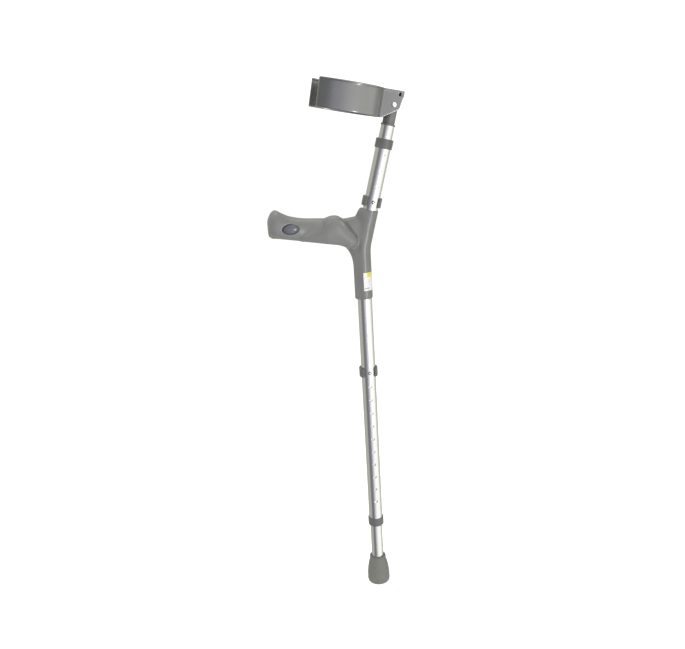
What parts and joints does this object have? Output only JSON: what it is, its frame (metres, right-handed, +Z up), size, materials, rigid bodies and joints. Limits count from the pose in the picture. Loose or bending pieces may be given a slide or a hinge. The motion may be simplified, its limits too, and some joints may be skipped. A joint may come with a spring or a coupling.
{
  "type": "forearm crutch",
  "caption": "Height-adjustable forearm crutch with an anatomic hand grip, a tilting open cuff, spring clips and a rubber ferrule.",
  "frame": {"origin": "centre of the ferrule's flat bottom face", "axes": "+Z up along the lower tube; -X the way the hand grip and the cuff's mouth point; +Y away from the palm wing, the side that the spring clips pull off to"},
  "size_m": [0.2325, 0.0978, 0.9237],
  "materials": {
    "satin_aluminium": "satin",
    "grip_plastic": "satin",
    "collar_plastic": "satin",
    "bush_plastic": "satin",
    "cuff_plastic": "gloss",
    "ferrule_rubber": "matte",
    "bright_steel": "polished",
    "label_film": "semi-gloss",
    "badge_plastic": "gloss"
  },
  "bodies": {
    "frame": {"main_tube": "satin_aluminium", "handle_moulding": "grip_plastic", "grip_badge": "badge_plastic", "sleeve_label": "label_film", "lower_collar": "collar_plastic", "upper_collar": "collar_plastic"},
    "leg": {"leg_tube": "satin_aluminium", "leg_guide_bush": "bush_plastic", "ferrule": "ferrule_rubber", "ferrule_washer": "bright_steel"},
    "leg_clip_body": {"leg_clip": "collar_plastic"},
    "cuff_stem": {"cuff_tube": "satin_aluminium", "cuff_guide_bush": "bush_plastic", "cuff_knuckle": "cuff_plastic", "pivot_barrel": "bright_steel", "pivot_screw": "bright_steel"},
    "cuff_clip_body": {"cuff_clip": "collar_plastic"},
    "cuff": {"cuff_shell": "cuff_plastic"}
  },
  "joints": [
    {"name": "leg_height", "type": "slide", "parent": "frame", "child": "leg", "axis": [0, 0, -1], "range_m": [0, 0.254], "deforming": ["leg_clip"]},
    {"name": "leg_clip_pull", "type": "slide", "parent": "leg", "child": "leg_clip_body", "axis": [0, 1, 0], "range_m": [0, 0.034], "deforming": ["leg_clip"]},
    {"name": "cuff_height", "type": "slide", "parent": "frame", "child": "cuff_stem", "axis": [0.2588, 0, 0.9659], "range_m": [0, 0.0762], "deforming": ["cuff_clip"]},
    {"name": "cuff_clip_pull", "type": "slide", "parent": "cuff_stem", "child": "cuff_clip_body", "axis": [0, 1, 0], "range_m": [0, 0.034], "deforming": ["cuff_clip"]},
    {"name": "cuff_tilt", "type": "hinge", "parent": "cuff_stem", "child": "cuff", "pos_m": [0.05974, 0, 0.87544], "axis": [0, 1, 0], "range_deg": [-12, 15]}
  ]
}
